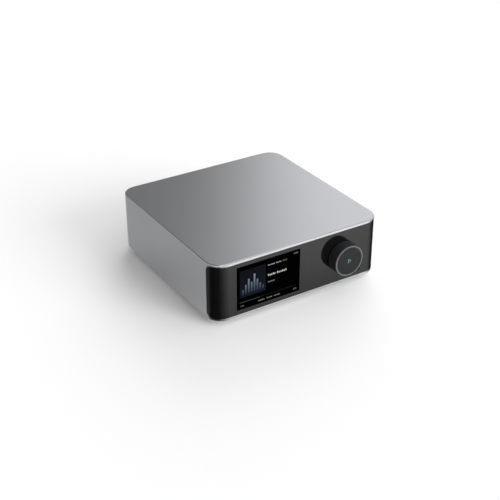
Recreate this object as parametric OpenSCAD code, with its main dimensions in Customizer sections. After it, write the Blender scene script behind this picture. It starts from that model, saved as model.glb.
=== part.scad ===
// Compact network music streamer: a square aluminium case with a wrap-around
// gloss fascia, a colour display, a turning volume knob round a push button,
// a socket panel at the back and the boards inside.
// Millimetres. The origin is on the table under the middle of the case,
// +X to the right seen from the front, +Y to the back, +Z up.

/* [Case] */
// Width of the aluminium case
case_w = 206; // [200:1:230]
// Depth of the aluminium case
case_d = 206; // [196:1:230]
// Height of the aluminium case, without the plinth and feet
case_h = 65.5; // [63:0.5:80]
// Radius of the four upright corners
corner_r = 17.3; // [12:0.1:22]
// Thickness of the side and back walls
wall = 2.5; // [2:0.1:3]
// Thickness of the top
top_t = 2.6; // [2:0.1:3]
// Radius on the top outer edge
edge_r = 1.2; // [0.6:0.1:1.8]
// Radius on the bottom outer edge
foot_edge_r = 0.9; // [0.4:0.1:1.4]
// Height of the metal lip above and below the fascia
lip_h = 3.1; // [2.8:0.1:4]
// Width of the inward flange round the open bottom
flange_w = 12; // [10:0.5:13]
// Radius of the flange's inner corners
flange_r = 6; // [3:0.5:10]

/* [Base] */
// Height of the recessed plinth under the case
plinth_h = 3; // [2.5:0.1:5]
// Step from the case's side in to the plinth's side
plinth_inset = 8; // [6:0.5:9]
// Height of the rubber feet below the plinth
foot_h = 3.5; // [2:0.1:6]
// Radius of a rubber foot
foot_r = 11; // [8:0.5:14]
// Depth of the pocket that locates a foot
foot_pocket = 1; // [0.5:0.1:1.5]
// Distance from the case's side to the middle of a foot
foot_inset = 32; // [28:1:40]
// Height of the board stand-offs
standoff_h = 9.5; // [7:0.5:12]
// Radius of a stand-off
standoff_r = 3; // [2.5:0.1:3.4]

/* [Fascia] */
// How far the fascia wraps round onto the sides
wrap = 15.4; // [12:0.1:18]
// Radius of the fascia's corners on the sides
wrap_r = 6.4; // [2:0.1:8]
// How far the fascia lies below the case's surface
fascia_recess = 0.2; // [0.1:0.05:0.5]
// Thickness of the rib layer behind the fascia's skin
fascia_rib = 1.8; // [1.4:0.1:2.5]
// Length of the snap tabs that reach behind the side walls
tab_l = 7; // [4:0.5:10]
// Gap between the fascia and the case
seam = 0.15; // [0.1:0.05:0.3]

/* [Display] */
// Width of the cover glass
glass_w = 76; // [70:0.5:80]
// Height of the cover glass
glass_h = 49.6; // [44:0.2:51]
// Distance from the case's left side to the glass
glass_edge = 26.6; // [24:0.2:30]
// Thickness of the cover glass
glass_t = 1.1; // [0.7:0.1:1.5]
// Thickness of the liquid crystal cell
cell_t = 1.4; // [1:0.1:1.6]
// Radius of the glass corners
glass_r = 1; // [0.5:0.1:3]
// Thickness of the steel bracket behind the display
bracket_t = 1; // [0.8:0.1:1.5]

/* [Knob] */
// Radius of the knob
knob_r = 17.7; // [16:0.1:19]
// How far the knob stands out of the fascia
knob_h = 13.4; // [12:0.1:16]
// Distance from the case's right side to the knob's axis
knob_edge = 49.7; // [45:0.1:54]
// Gap between the turning knob and the fascia
knob_gap = 0.9; // [0.4:0.1:1.2]
// Height of the bright bezel at the knob's front
bezel_h = 1; // [0.8:0.1:1.4]
// Width of the bezel's front face before its chamfer
bezel_w = 2.5; // [1.4:0.1:3]
// Chamfer on the bezel's outer edge
bezel_chamfer = 0.8; // [0.3:0.1:0.8]
// Radius of the fixed post that the knob turns on
post_r = 9; // [8:0.1:9.4]
// Wall of the knob's drive tube
tube_wall = 1.8; // [1.4:0.1:2]
// Travel of the push button in the knob's face
press_travel = 0.6; // [0.3:0.1:1]
// Thickness of the push button's disc
button_t = 1.4; // [1:0.1:2]
// Radius of the push button's stem
stem_r = 3; // [2.4:0.1:3.4]
// Height of the play symbol in the button
icon_h = 4.2; // [3:0.1:5]
// Radial clearance of the knob on its post and of the stem in its guide
run_clear = 0.05; // [0.02:0.01:0.1]

/* [Headphone socket] */
// Distance from the case's right side to the headphone socket
phones_edge = 27; // [24:0.5:30]
// Height of the headphone socket above the fascia's lower edge
phones_up = 7.4; // [7:0.1:10]
// Bore radius of the 3.5 mm sockets
jack_r = 1.8; // [1.76:0.01:1.9]
// Depth of the 3.5 mm sockets
jack_depth = 14; // [13:0.5:16]

/* [Back panel] */
// Plain metal left above and below the back panel
rear_margin = 6.2; // [5:0.1:8]
// Flat wall left between the back panel's flange and the round corner
rear_end = 0.4; // [0.2:0.1:2]
// Radius of the back panel's corners
rear_r = 5; // [3:0.5:8]
// How far the back panel lies below the case's surface
rear_recess = 0.5; // [0.2:0.1:1]
// Width of the flange that bears on the back wall from inside
rear_flange = 2.4; // [1.5:0.1:2.6]
// Thickness of that flange
rear_flange_t = 2; // [1.5:0.1:3]
// Plain panel left beyond the outermost socket at each end
row_margin = 3; // [2:0.1:7]
// Gap between neighbouring sockets along the back
socket_gap = 1.8; // [1.2:0.1:3.4]

/* [Sockets] */
// Width of a pair of stacked phono sockets
rca_w = 13; // [12:0.1:15]
// Height of a pair of stacked phono sockets
rca_h = 36; // [34:0.5:38]
// Spacing of the two phono sockets in a pair
rca_pitch = 18; // [17:0.5:20]
// Outer radius of a phono barrel
rca_r = 4.15; // [4.1:0.01:4.2]
// How far a phono barrel stands out of the back panel
rca_out = 9.5; // [8:0.5:11]
// Radius of the hole for the phono plug's pin
rca_hole_r = 1.6; // [1.5:0.05:1.7]
// Side of the square mouth of an optical socket
optical_mouth = 8.6; // [8.2:0.1:9]
// Spacing of the two optical sockets
optical_pitch = 16; // [15:0.5:18]
// Width of the video socket's shell
hdmi_w = 15; // [14.5:0.1:16]
// Height of the video socket's shell
hdmi_h = 5.7; // [5.4:0.1:6.2]
// Width of the data socket's shell
usb_w = 13.2; // [13:0.1:14]
// Height of the data socket's shell
usb_h = 5.8; // [5.6:0.1:6.2]
// Width of the network socket
lan_w = 16; // [15.5:0.1:17]
// Height of the network socket
lan_h = 13.5; // [13:0.1:15]
// Width of the mains inlet
mains_w = 19; // [18.5:0.1:20]
// Height of the mains inlet
mains_h = 11.6; // [11:0.1:13]
// Radius of the ground terminal's thumb nut
ground_r = 4.8; // [4:0.1:5.2]
// How far the ground terminal stands out of the back panel
ground_out = 13.7; // [12:0.1:15]

/* [Boards] */
// Thickness of the circuit boards
board_t = 1.6; // [1:0.1:2]
// Width of the power supply board
power_w = 22; // [20:0.5:23]
// Width of the ribbon cables
ribbon_w = 20; // [12:1:24]
// Number of fins on the heat sink
fin_count = 8; // [4:1:12]
// Height of the heat sink's fins
fin_h = 10; // [6:0.5:14]

/* [Hidden] */
$fn = 64;

// Clearance of a piece that sits in a pocket or passes through a hole
fit = 0.1;
// Overlap that makes a cut break cleanly through a face
cut = 1;
// Overlap of two shapes that are moulded or turned as one piece
lap = 0.6;

// Heights of the case
case_z = foot_h + plinth_h;
case_top = case_z + case_h;
fascia_z0 = case_z + lip_h;
fascia_z1 = case_top - lip_h;
fascia_mid = (fascia_z0 + fascia_z1) / 2;
fascia_h = fascia_z1 - fascia_z0;
inner_w = case_w - 2 * wall;
inner_d = case_d - 2 * wall;

// Small screws into the fascia, and the plastic left in front of their holes
small_screw_r = 1.1;
small_head_r = 2.3;
pilot_r = small_screw_r + run_clear;
blind_t = 1.2;
tip_gap = 0.4;

// Front: the fascia's outer face, the face behind its ribs and the layers between
rib_inset = 2.4;
face_y = -case_d / 2 + fascia_recess;
skin_t = wall + fit - fascia_recess;
fascia_t = skin_t + fascia_rib;
glass_x = -case_w / 2 + glass_edge + glass_w / 2;
tray_t = fascia_t - glass_t - cell_t;
knob_x = case_w / 2 - knob_edge;
phones_x = case_w / 2 - phones_edge;
phones_z = fascia_z0 + phones_up;
phones_nose_r = 3;
phones_w = 9;
phones_h = 8;
socket_back = 1.5;

// Knob, as distances out of the fascia's outer face (negative is inside the case)
tube_in_r = post_r + run_clear;
tube_r = tube_in_r + tube_wall;
bore_gap = 0.4;
bore_r = tube_r + bore_gap;
sleeve_wall = 2.4;
bezel_in_r = knob_r - bezel_w;
button_gap = 0.2;
button_front = knob_h - button_gap;
button_r = bezel_in_r - button_gap;
button_back = button_front - button_t;
press_spare = 0.4;
web_front = button_back - press_travel - press_spare;
web_t = 3;
rotor_gap = 0.3;
rotor_w = 3.1;
rotor_t = 1.4;
rotor_r = tube_r + rotor_w;
rotor_z = -fascia_t - rotor_gap;
rotor_slots = 12;
rotor_slot_r = 0.45;
clip_t = 0.8;
clip_w = 1.3;
clip_mouth = 5;
clip_z = rotor_z - rotor_t - fit / 2;
clip_r = tube_r + clip_w;
groove = 0.7;
tube_lip = 0.5;
tube_end = clip_z - clip_t - tube_lip;
post_flange_t = 1.3;
encoder_h = 5;
encoder_wall = 2.2;
encoder_in_r = rotor_r + rotor_gap;
encoder_r = encoder_in_r + encoder_wall;
board_face = -fascia_t - encoder_h;
switch_side = 6;
switch_h = 3.2;
plunger_r = 1.7;
plunger_out = 1.2;
switch_top = board_face + switch_h;
stem_end = switch_top + plunger_out;
guide_gap = 0.5;
guide_end = stem_end + guide_gap;
post_room_r = switch_side * sqrt(2) / 2 + guide_gap;
pipe_r = 1;
icon_gap = 0.15;
boss_r = 2.6;
boss_at = encoder_r - boss_r / 2;
board_rim = 5;
board_rise = 1.9;

// Back: the panel's outer face and its thickness; distances out of that face
rear_y = case_d / 2 - rear_recess;
rear_plug_t = wall - rear_recess + fit;
rear_t = rear_plug_t + rear_flange_t;
rear_w = case_w - 2 * (corner_r + rear_flange + rear_end);
rear_h = case_h - 2 * rear_margin;
rear_mid = case_z + case_h / 2;

// Boards, and the flat cables that reach the main board from the front
board_z = case_z + standoff_h;
board_top = board_z + board_t;
board_back = rear_y - rear_t - fit;
front_room = 63;
board_front = -case_d / 2 + front_room;
ribbon_t = 0.3;
ribbon_bend = 3;
ribbon_drop = 8;
ribbon_lap = 4;
ribbon_end = board_front + ribbon_lap;
ribbon_socket_d = 5;
ribbon_socket_h = 2.5;
ribbon_socket_wall = 2;
cap_r = 4;
cap_h = 11;
cap_pitch = 12;
cap_rows = 2 * cap_pitch;
mains_depth = 16;

// Sockets in a row along the back, left to right seen from behind,
// with the mains inlet by itself at the far end
optical_wall = 1;
optical_w = optical_mouth + 2 * optical_wall;
row = [rca_w, rca_w, rca_w, rca_w, optical_w, hdmi_w, usb_w, lan_w];
function row_sum(n) = n == 0 ? 0 : row[n - 1] + socket_gap + row_sum(n - 1);
function row_u(n) = row_margin - rear_w / 2 + row_sum(n) + row[n] / 2;
rca_u = [for (n = [0:3]) row_u(n)];
optical_u = row_u(4);
hdmi_u = row_u(5);
usb_u = row_u(6);
lan_u = row_u(7);
mains_u = rear_w / 2 - row_margin - mains_w / 2;
rca_v = [board_top + rca_h / 2 - rca_pitch / 2, board_top + rca_h / 2 + rca_pitch / 2];
optical_rise = 3.6;
optical_low = board_top + optical_rise + optical_mouth / 2;
optical_v = [optical_low, optical_low + optical_pitch];
hdmi_v = board_top + hdmi_h / 2;
usb_v = board_top + usb_h / 2;
lan_v = board_top + lan_h / 2;
mains_v = board_top + mains_h / 2;
// The trigger socket and the ground terminal sit in a second row above
upper_gap = 17;
upper_v = board_top + lan_h + upper_gap;
rca_depth = 12;
rca_bite = 6;
collar_w = 1.35;
collar_out = 1.2;
collar_r = rca_r + collar_w;
barrel_wall = 0.8;
barrel_in_r = rca_r - barrel_wall;
rca_hole_l = 7.5;
insert_step = 0.5;
rca_insert_out = rca_out - insert_step;
proud = 0.4;

// Optical shutters: a flap hung on two pins inside the mouth
frame_t = 1;
flap_t = 0.8;
flap_gap = 0.15;
pin_r = 0.45;
pin_bite = 0.5;
hinge_step = 0.6;
hinge_up = optical_mouth / 2 + hinge_step;
hinge_z = proud - frame_t - hinge_step;
flap_w = optical_mouth - 2 * flap_gap;
flap_drop = hinge_up + optical_mouth / 2 - fit;
mouth_lip = 0.4;
optical_depth = 12;
stow_h = hinge_up + flap_t;

// The supply's board lies in line with the mains inlet and the main board fills the rest
board_gap = 1.6;
board_side = 8;
power_x = -mains_u;
split_x = power_x + (power_w + board_gap) / 2;
main_x0 = split_x + board_gap / 2;
main_x1 = inner_w / 2 - board_side;
edge_gap = 7;
front_spot_y = ribbon_end + ribbon_socket_d / 2 + edge_gap;
main_spots = [for (x = [main_x0 + edge_gap, (main_x0 + main_x1) / 2, main_x1 - edge_gap])
    for (y = [front_spot_y, board_back - rca_depth - cap_rows - edge_gap]) [x, y]];
power_reach = 28;
power_rim = 5;
power_front = board_front - power_reach;
power_spots = [for (x = [-1, 1]) for (y = [power_front + edge_gap, board_back - mains_depth - edge_gap])
    [power_x + x * (power_w / 2 - power_rim), y]];
screw_r = 1.4;
screw_head_r = 2.6;
screw_head_h = 1.6;
screw_slot = 0.7;
base_screw_inset = 43;
base_screw_spots = [for (x = [-1, 1]) for (y = [-1, 1])
    [x * (case_w / 2 - base_screw_inset), y * (case_d / 2 - (plinth_inset + wall + flange_w) / 2)]];
foot_spots = [for (x = [-1, 1]) for (y = [-1, 1])
    [x * (case_w / 2 - foot_inset), y * (case_d / 2 - foot_inset)]];
chip_side = 34;
chip_r = 1.5;
chip_x = (main_x0 + main_x1) / 2;
chip_y = front_spot_y + edge_gap + chip_side / 2;
shield_h = 3.5;
sink_base = 3;
fin_t = 1.6;
screw_bite = 5.5;

// Supply pieces, from the inlet forwards: choke, transformer, capacitor
choke_r = 6;
choke_wire_r = 4;
choke_y = board_back - mains_depth - 2 * edge_gap - choke_r - choke_wire_r;
supply_gap = 2;
core_w = power_w - 3 * supply_gap;
core_l = 26;
core_h = 20;
core_t = 4;
core_y = choke_y - choke_r - choke_wire_r - supply_gap - core_l / 2;
bulk_r = 8;
bulk_h = 26;
bulk_y = power_front + 2 * edge_gap + bulk_r;
wire_r = 0.8;
wire_bend = 5.5;
wire_pitch = 2.4;
wire_y = front_spot_y + edge_gap;

// Shared shapes

// A rectangle with round corners, centred
module round_rect(w, h, r) {
    square([w - 2 * r, h], center = true);
    square([w, h - 2 * r], center = true);
    for (x = [-1, 1]) for (y = [-1, 1])
        translate([x * (w / 2 - r), y * (h / 2 - r)]) circle(r);
}

// Half of the case's upright section, from its middle out to "reach"
module edge_section(reach) {
    translate([0, case_z]) square([reach - foot_edge_r, foot_edge_r]);
    translate([0, case_z + foot_edge_r]) square([reach, case_h - edge_r - foot_edge_r]);
    translate([0, case_top - edge_r]) square([reach - edge_r, edge_r]);
    translate([reach - edge_r, case_top - edge_r]) circle(edge_r);
    translate([reach - foot_edge_r, case_z + foot_edge_r]) circle(foot_edge_r);
}

// The outer form of the case: four turned corners and the straight runs between them
module case_block() {
    for (q = [0:3]) {
        sx = (q == 0 || q == 3) ? 1 : -1;
        sy = q < 2 ? 1 : -1;
        translate([sx * (case_w / 2 - corner_r), sy * (case_d / 2 - corner_r), 0])
            rotate(90 * q) rotate_extrude(angle = 90) edge_section(corner_r);
    }
    for (side = [0, 180])
        rotate([90, 0, 90 + side]) linear_extrude(case_w - 2 * corner_r, center = true)
            edge_section(case_d / 2);
    for (side = [0, 180])
        rotate([90, 0, side]) linear_extrude(case_d - 2 * corner_r, center = true)
            edge_section(case_w / 2);
}

// A wall that follows the case's outline, between two depths below its surface
module outline_wall(z0, z1, depth0, depth1) {
    translate([0, 0, z0]) linear_extrude(z1 - z0) difference() {
        round_rect(case_w - 2 * depth0, case_d - 2 * depth0, corner_r - depth0);
        round_rect(case_w - 2 * depth1, case_d - 2 * depth1, corner_r - depth1);
    }
}

// The wrap-around opening for the fascia, seen from the side, made smaller by "gap"
module wrap_window(gap) {
    y0 = -case_d / 2 - cut;
    y1 = -case_d / 2 + wrap - gap;
    z0 = fascia_z0 + gap;
    z1 = fascia_z1 - gap;
    r = wrap_r - gap;
    rotate([90, 0, 90]) linear_extrude(case_w + 2 * cut, center = true) {
        translate([y0, z0]) square([y1 - r - y0, z1 - z0]);
        translate([y0, z0 + r]) square([y1 - y0, z1 - z0 - 2 * r]);
        for (z = [z0 + r, z1 - r]) translate([y1 - r, z]) circle(r);
    }
}

// Places children on the fascia: +Z points out of it, X and Y lie in its face
module on_fascia(x, z) {
    translate([x, face_y, z]) rotate([90, 0, 0]) children();
}

// Places children on the back panel as seen from behind: X right, Y up, +Z out
module on_rear(u, v) {
    translate([-u, rear_y, v]) rotate([90, 0, 180]) children();
}

// A tube or ring along Z
module tube(r_out, r_in, z0, z1) {
    translate([0, 0, z0]) difference() {
        cylinder(r = r_out, h = z1 - z0);
        translate([0, 0, -cut]) cylinder(r = r_in, h = z1 - z0 + 2 * cut);
    }
}

// A block centred in X and Y, from z0 to z1
module block(w, h, z0, z1) {
    translate([-w / 2, -h / 2, z0]) cube([w, h, z1 - z0]);
}

// A pan-head screw pointing down, with its head's seat at Z 0
module screw(length, head_r = screw_head_r, r = screw_r) {
    difference() {
        cylinder(r = head_r, h = screw_head_h);
        for (a = [0, 90]) rotate(a)
            block(2 * head_r - 2 * screw_slot, screw_slot, screw_head_h - screw_slot, screw_head_h + cut);
    }
    translate([0, 0, -length]) cylinder(r = r, h = length);
}

// Casing

module aluminium_case() {
    color("silver") difference() {
        case_block();
        // room for the boards
        translate([0, 0, fascia_z0]) linear_extrude(case_top - top_t - fascia_z0)
            round_rect(inner_w, inner_d, corner_r - wall);
        // the open bottom inside the flange
        translate([0, 0, case_z - cut]) linear_extrude(lip_h + 2 * cut)
            round_rect(inner_w - 2 * flange_w, inner_d - 2 * flange_w, flange_r);
        wrap_window(0);
        // the opening for the back panel
        translate([0, case_d / 2 + cut, rear_mid]) rotate([90, 0, 0]) linear_extrude(wall + 2 * cut)
            round_rect(rear_w, rear_h, rear_r);
        // tapped holes for the base screws
        for (p = base_screw_spots) translate([p[0], p[1], case_z - cut])
            cylinder(r = screw_r + run_clear, h = lip_h + 2 * cut);
    }
}

module front_fascia() {
    color([0.05, 0.05, 0.055]) difference() {
        union() {
            // the skin that fills the opening
            intersection() {
                outline_wall(fascia_z0 + seam, fascia_z1 - seam, fascia_recess, wall + fit + lap);
                wrap_window(seam);
            }
            // the rib layer behind it, whose ends reach behind the side walls as snap tabs
            intersection() {
                outline_wall(fascia_z0 + rib_inset, fascia_z1 - rib_inset,
                    wall + fit, wall + fit + fascia_rib);
                translate([-case_w / 2, -case_d / 2, 0]) cube([case_w, wrap + tab_l, case_top]);
            }
            // posts for the knob's board
            for (x = [-1, 1]) for (y = [-1, 1]) on_fascia(knob_x, fascia_mid)
                translate([x * boss_at, y * boss_at, board_face])
                    cylinder(r = boss_r, h = encoder_h + lap);
        }
        // the display's opening, the knob's bore and the headphone hole
        on_fascia(glass_x, fascia_mid) translate([0, 0, -fascia_t - cut])
            linear_extrude(fascia_t + 2 * cut)
                round_rect(glass_w + 2 * fit, glass_h + 2 * fit, glass_r + fit);
        on_fascia(knob_x, fascia_mid) translate([0, 0, -fascia_t - cut])
            cylinder(r = bore_r, h = fascia_t + 2 * cut);
        on_fascia(phones_x, phones_z) translate([0, 0, -fascia_t - cut])
            cylinder(r = phones_nose_r + fit, h = fascia_t + 2 * cut);
        // screw holes
        for (p = bracket_spots) on_fascia(glass_x + p[0], fascia_mid + p[1])
            translate([0, 0, -fascia_t - cut]) cylinder(r = pilot_r, h = cut + bracket_screw_l);
        for (x = [-1, 1]) for (y = [-1, 1]) on_fascia(knob_x, fascia_mid)
            translate([x * boss_at, y * boss_at, board_face - cut])
                cylinder(r = pilot_r, h = cut + encoder_h);
    }
}

module rear_panel() {
    color([0.07, 0.07, 0.075]) difference() {
        on_rear(0, rear_mid) {
            translate([0, 0, -rear_plug_t - lap]) linear_extrude(rear_plug_t + lap)
                round_rect(rear_w - 2 * seam, rear_h - 2 * seam, rear_r - seam);
            translate([0, 0, -rear_t]) linear_extrude(rear_flange_t)
                round_rect(rear_w + 2 * rear_flange, rear_h + 2 * rear_flange, rear_r);
        }
        for (u = rca_u) {
            for (v = rca_v) rear_hole(u, v, collar_r + fit);
            rear_hole(u, (rca_v[0] + rca_v[1]) / 2, screw_r + fit);
        }
        for (v = optical_v) on_rear(optical_u, v) optical_nose(fit, rear_t + cut, cut);
        rear_slot(hdmi_u, hdmi_v, hdmi_w, hdmi_h);
        rear_slot(usb_u, usb_v, usb_w, usb_h);
        rear_slot(lan_u, lan_v, lan_w, lan_h);
        rear_slot(mains_u, mains_v, mains_w, mains_h);
        rear_hole(lan_u, upper_v, trigger_nose_r + fit);
        rear_hole(hdmi_u, upper_v, ground_stud_r + fit);
    }
}

module rear_hole(u, v, r) {
    on_rear(u, v) translate([0, 0, -rear_t - cut]) cylinder(r = r, h = rear_t + 2 * cut);
}

module rear_slot(u, v, w, h) {
    on_rear(u, v) block(w + 2 * fit, h + 2 * fit, -rear_t - cut, cut);
}

module base_plate() {
    color([0.12, 0.12, 0.13]) difference() {
        union() {
            translate([0, 0, foot_h]) linear_extrude(plinth_h)
                round_rect(case_w - 2 * plinth_inset, case_d - 2 * plinth_inset, corner_r - plinth_inset);
            for (p = concat(main_spots, power_spots)) translate([p[0], p[1], case_z - plinth_h / 2])
                cylinder(r = standoff_r, h = standoff_h + plinth_h / 2);
        }
        for (p = foot_spots) translate([p[0], p[1], foot_h - cut])
            cylinder(r = foot_r + fit, h = cut + foot_pocket);
        for (p = concat(main_spots, power_spots)) translate([p[0], p[1], case_z])
            cylinder(r = screw_r + run_clear, h = standoff_h + cut);
        for (p = base_screw_spots) translate([p[0], p[1], foot_h - cut]) {
            cylinder(r = screw_r + fit, h = plinth_h + 2 * cut);
            cylinder(r = screw_head_r + fit, h = cut + screw_head_h);
        }
    }
}

module rubber_feet() {
    round_over = 1;
    color([0.1, 0.1, 0.1]) for (p = foot_spots) translate([p[0], p[1], 0]) rotate_extrude() {
        square([foot_r - round_over, foot_h + foot_pocket]);
        translate([0, round_over]) square([foot_r, foot_h + foot_pocket - round_over]);
        translate([foot_r - round_over, round_over]) circle(round_over);
    }
}

module base_screws() {
    color("dimgray") for (p = base_screw_spots) translate([p[0], p[1], foot_h + screw_head_h])
        mirror([0, 0, 1]) screw(plinth_h - screw_head_h + lip_h);
}

// Display, stacked from the fascia's face inwards

bracket_side = 7;
bracket_rim = 8;
bracket_low_rim = 16;
bracket_r = 3;
bracket_w = glass_w + 2 * bracket_side;
bracket_h = fascia_h - 2 * (rib_inset + fit);
bracket_spots = [for (x = [-1, 1]) for (y = [-1, 1])
    [x * (glass_w + bracket_side) / 2, y * (bracket_h / 2 - bracket_rim)]];
bracket_screw_l = fascia_t - blind_t;
cell_inset = 0.5;
tray_inset = 0.2;

module display_layer(inset, z0, t) {
    on_fascia(glass_x, fascia_mid) translate([0, 0, z0]) linear_extrude(t)
        round_rect(glass_w - 2 * inset, glass_h - 2 * inset, glass_r);
}

module display_glass() {
    color([0.02, 0.02, 0.03]) display_layer(0, -glass_t, glass_t);
}

module display_cell() {
    color([0.1, 0.12, 0.2]) display_layer(cell_inset, -glass_t - cell_t, cell_t);
}

module backlight_tray() {
    color("gainsboro") display_layer(tray_inset, -fascia_t, tray_t);
}

module display_bracket() {
    color("lightgray") on_fascia(glass_x, fascia_mid) difference() {
        translate([0, 0, -fascia_t - bracket_t]) linear_extrude(bracket_t)
            round_rect(bracket_w, bracket_h, bracket_r);
        translate([0, (bracket_low_rim - bracket_rim) / 2, -fascia_t - bracket_t - cut])
            linear_extrude(bracket_t + 2 * cut)
                round_rect(glass_w - 2 * bracket_rim, glass_h - bracket_rim - bracket_low_rim, bracket_r);
        for (p = bracket_spots) translate([p[0], p[1], -fascia_t - bracket_t - cut])
            cylinder(r = small_screw_r + fit, h = bracket_t + 2 * cut);
    }
}

module bracket_screws() {
    color("dimgray") for (p = bracket_spots) on_fascia(glass_x + p[0], fascia_mid + p[1])
        translate([0, 0, -fascia_t - bracket_t]) mirror([0, 0, 1])
            screw(bracket_t + bracket_screw_l - tip_gap, small_head_r, small_screw_r);
}

// Knob and push button

module on_knob() {
    on_fascia(knob_x, fascia_mid) children();
}

// Sleeve, web and drive tube, turned in one piece
module knob_ring() {
    sleeve_in_r = knob_r - sleeve_wall;
    color([0.06, 0.06, 0.065]) on_knob() difference() {
        rotate_extrude() polygon([
            [tube_in_r, tube_end], [tube_r, tube_end], [tube_r, web_front - web_t],
            [sleeve_in_r, web_front - web_t], [sleeve_in_r, knob_gap], [knob_r, knob_gap],
            [knob_r, knob_h - bezel_h], [bezel_in_r, knob_h - bezel_h], [bezel_in_r, web_front],
            [tube_in_r, web_front]
        ]);
        // groove for the retaining clip
        tube(tube_r + cut, tube_r - groove, clip_z - clip_t - run_clear, clip_z + run_clear);
    }
}

module knob_bezel() {
    color("silver") on_knob() rotate_extrude() polygon([
        [bezel_in_r, knob_h - bezel_h], [knob_r, knob_h - bezel_h], [knob_r, knob_h - bezel_chamfer],
        [knob_r - bezel_chamfer, knob_h], [bezel_in_r, knob_h]
    ]);
}

module encoder_rotor() {
    color([0.2, 0.2, 0.22]) on_knob() difference() {
        tube(rotor_r, tube_r + run_clear, rotor_z - rotor_t, rotor_z);
        for (n = [0:rotor_slots - 1]) rotate(n * 360 / rotor_slots)
            translate([rotor_r - 2 * rotor_slot_r, 0, rotor_z - rotor_t - cut])
                cylinder(r = rotor_slot_r, h = rotor_t + 2 * cut);
    }
}

module retaining_clip() {
    color("silver") on_knob() difference() {
        tube(clip_r, tube_r - groove + run_clear, clip_z - clip_t, clip_z);
        translate([0, -clip_r, 0]) block(clip_mouth, clip_r, clip_z - clip_t - cut, clip_z + cut);
    }
}

module encoder_body() {
    color([0.15, 0.25, 0.15]) on_knob() tube(encoder_r, encoder_in_r, board_face, -fascia_t);
}

// Fixed post: carries the knob outside and guides the button's stem inside
module knob_post() {
    color("gray") on_knob() rotate_extrude() polygon([
        [stem_r + run_clear, guide_end], [stem_r + run_clear, web_front], [post_r, web_front],
        [post_r, board_face + post_flange_t], [clip_r, board_face + post_flange_t], [clip_r, board_face],
        [post_room_r, board_face], [post_room_r, guide_end]
    ]);
}

knob_board_x0 = knob_x - boss_at - board_rim;
knob_board_x1 = max(phones_x + phones_w / 2, knob_x + boss_at) + board_rim;
knob_board_z0 = fascia_z0 + board_rise;
knob_board_z1 = fascia_mid + boss_at + board_rim;

module knob_board() {
    color("darkgreen") difference() {
        translate([knob_board_x0, face_y - board_face, knob_board_z0])
            cube([knob_board_x1 - knob_board_x0, board_t, knob_board_z1 - knob_board_z0]);
        on_fascia(phones_x, phones_z)
            block(phones_w + 2 * fit, phones_h + 2 * fit, board_face - board_t - cut, 0);
        for (x = [-1, 1]) for (y = [-1, 1]) on_knob()
            translate([x * boss_at, y * boss_at, board_face - board_t - cut])
                cylinder(r = small_screw_r + fit, h = board_t + 2 * cut);
    }
}

module knob_screws() {
    color("dimgray") for (x = [-1, 1]) for (y = [-1, 1]) on_knob()
        translate([x * boss_at, y * boss_at, board_face - board_t])
            mirror([0, 0, 1]) screw(board_t + encoder_h - tip_gap, small_head_r, small_screw_r);
}

// A play symbol pointing right, with three equal sides and its middle on the axis
module play_triangle(h) {
    w = h * sqrt(3) / 2;
    polygon([[-w / 3, -h / 2], [w * 2 / 3, 0], [-w / 3, h / 2]]);
}

module play_button() {
    color([0.07, 0.07, 0.075]) on_knob() difference() {
        union() {
            translate([0, 0, button_back]) cylinder(r = button_r, h = button_t);
            translate([0, 0, stem_end]) cylinder(r = stem_r, h = button_back - stem_end + button_t / 2);
        }
        translate([0, 0, button_back]) linear_extrude(button_t + cut) play_triangle(icon_h + 2 * icon_gap);
        translate([0, 0, stem_end - cut])
            cylinder(r = pipe_r + run_clear, h = button_back - stem_end + 2 * cut);
    }
}

// Light pipe: the symbol in the button's face and the rod that leads light up the stem
module play_icon() {
    color("turquoise") on_knob() {
        translate([0, 0, button_back]) linear_extrude(button_t) play_triangle(icon_h);
        translate([0, 0, stem_end]) cylinder(r = pipe_r, h = button_back - stem_end + button_t / 2);
    }
}

module push_switch() {
    color([0.1, 0.1, 0.1]) on_knob() difference() {
        block(switch_side, switch_side, board_face, switch_top);
        translate([0, 0, switch_top - plunger_out - press_travel - press_spare])
            cylinder(r = plunger_r + run_clear, h = switch_h);
    }
}

module switch_plunger() {
    color("white") on_knob() translate([0, 0, switch_top - plunger_out])
        cylinder(r = plunger_r, h = 2 * plunger_out);
}

// Front headphone socket

module headphone_socket() {
    color([0.1, 0.1, 0.1]) on_fascia(phones_x, phones_z) difference() {
        union() {
            translate([0, 0, -fascia_t - lap]) cylinder(r = phones_nose_r, h = fascia_t + lap - fit);
            block(phones_w, phones_h, -jack_depth - socket_back, -fascia_t);
        }
        translate([0, 0, -jack_depth - fit]) cylinder(r = jack_r, h = jack_depth + cut);
    }
}

// Back sockets

module rca_housings() {
    color([0.1, 0.1, 0.1]) for (u = rca_u) on_rear(u, board_top + rca_h / 2) difference() {
        block(rca_w, rca_h, -rear_t - rca_depth, -rear_t);
        translate([0, 0, -rear_t - rca_bite - cut])
            cylinder(r = screw_r + run_clear, h = rca_bite + 2 * cut);
    }
}

module rca_barrels() {
    color("gold") for (u = rca_u) for (v = rca_v) on_rear(u, v) tube(rca_r, barrel_in_r, -rear_t, rca_out);
}

// Coloured collar round a barrel and the insulator inside it
module rca_insulator(u, v) {
    on_rear(u, v) {
        tube(collar_r, rca_r + run_clear, -rear_t, collar_out);
        difference() {
            translate([0, 0, -rear_t]) cylinder(r = barrel_in_r - run_clear, h = rear_t + rca_insert_out);
            translate([0, 0, rca_insert_out - rca_hole_l]) cylinder(r = rca_hole_r, h = rca_hole_l + cut);
        }
    }
}

module rca_white() {
    color("white") for (n = [0:2]) rca_insulator(rca_u[n], rca_v[1]);
}

module rca_red() {
    color("red") for (n = [0:2]) rca_insulator(rca_u[n], rca_v[0]);
}

module rca_black() {
    color("black") rca_insulator(rca_u[3], rca_v[1]);
}

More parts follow.
